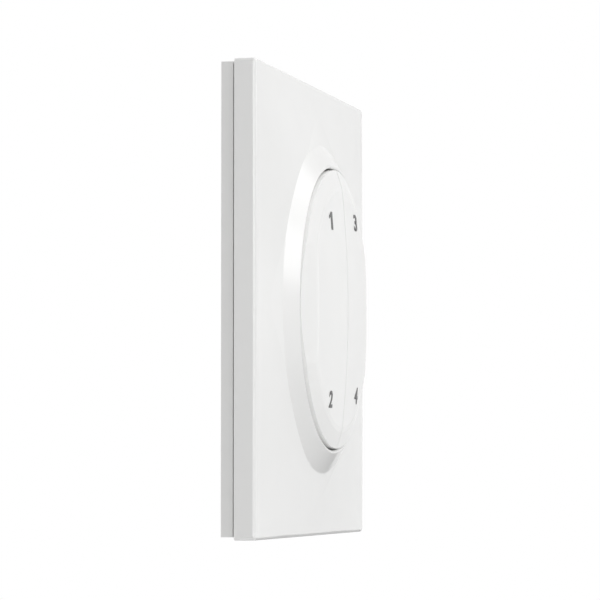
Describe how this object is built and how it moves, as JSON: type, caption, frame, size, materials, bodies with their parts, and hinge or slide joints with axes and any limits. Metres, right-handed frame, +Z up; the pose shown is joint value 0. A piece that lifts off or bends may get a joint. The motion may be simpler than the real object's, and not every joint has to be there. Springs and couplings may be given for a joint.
{
  "type": "wireless remote wall switch",
  "caption": "Square white surface-mounted wireless wall switch with a crowned plate, round conical collar and side-by-side domed rockers that drive small generators inside",
  "frame": {"origin": "centre of the flat back face, on the wall", "axes": "+Z up, +X to the right seen from the front, +Y into the wall"},
  "size_m": [0.08, 0.0125, 0.08],
  "materials": {
    "white_abs_back": "satin white moulding",
    "white_abs_front": "satin white moulding",
    "chassis_plastic": "matt moulding",
    "screw_steel": "zinc plated",
    "board_laminate": "green solder mask",
    "shield_steel": "tin plated",
    "chip_epoxy": "black epoxy",
    "can_aluminium": "bare can",
    "antenna_brass": "bare strip",
    "white_abs_rocker": "satin white moulding",
    "lever_plastic": "glass filled nylon",
    "pin_steel": "ground steel",
    "magnet_nickel": "nickel plated",
    "pole_iron": "soft iron",
    "bobbin_plastic": "black nylon",
    "copper_wire": "enamelled copper",
    "spring_steel": "spring strip"
  },
  "bodies": {
    "housing": {"back_plate": "white_abs_back", "front_plate": "white_abs_front", "chassis": "chassis_plastic", "chassis_screws": "screw_steel", "circuit_board": "board_laminate", "radio_shield": "shield_steel", "rectifier_chips": "chip_epoxy", "control_chip": "chip_epoxy", "storage_capacitors": "can_aluminium", "antenna": "antenna_brass", "lever_pin_left": "pin_steel", "coil_bobbin_left": "bobbin_plastic", "coil_winding_left": "copper_wire", "coil_core_left": "pole_iron", "return_spring_left": "spring_steel", "lever_pin_right": "pin_steel", "coil_bobbin_right": "bobbin_plastic", "coil_winding_right": "copper_wire", "coil_core_right": "pole_iron", "return_spring_right": "spring_steel"},
    "rocker_left": {"rocker_left": "white_abs_rocker"},
    "rocker_right": {"rocker_right": "white_abs_rocker"},
    "generator_left": {"generator_lever_left": "lever_plastic", "magnet_left": "magnet_nickel", "pole_plates_left": "pole_iron"},
    "generator_right": {"generator_lever_right": "lever_plastic", "magnet_right": "magnet_nickel", "pole_plates_right": "pole_iron"}
  },
  "joints": [
    {"name": "rocker_left_tilt", "type": "hinge", "parent": "housing", "child": "rocker_left", "pos_m": [-0.01, -0.0062, 0], "axis": [1, 0, 0], "range_deg": [-2.5, 2.5], "stiffness_Nm_per_rad": 0.6, "deforming": ["return_spring_left"]},
    {"name": "generator_left_swing", "type": "hinge", "parent": "housing", "child": "generator_left", "pos_m": [-0.00797, -0.0062, 0.01096], "axis": [1, 0, 0], "range_deg": [-9, 9]},
    {"name": "rocker_right_tilt", "type": "hinge", "parent": "housing", "child": "rocker_right", "pos_m": [0.01, -0.0062, 0], "axis": [1, 0, 0], "range_deg": [-2.5, 2.5], "stiffness_Nm_per_rad": 0.6, "deforming": ["return_spring_right"]},
    {"name": "generator_right_swing", "type": "hinge", "parent": "housing", "child": "generator_right", "pos_m": [0.00797, -0.0062, 0.01096], "axis": [1, 0, 0], "range_deg": [-9, 9]}
  ],
  "couplings": [
    {"joint": "generator_left_swing", "follows": "rocker_left_tilt", "ratio": 2.8333},
    {"joint": "generator_right_swing", "follows": "rocker_right_tilt", "ratio": 2.8333}
  ]
}
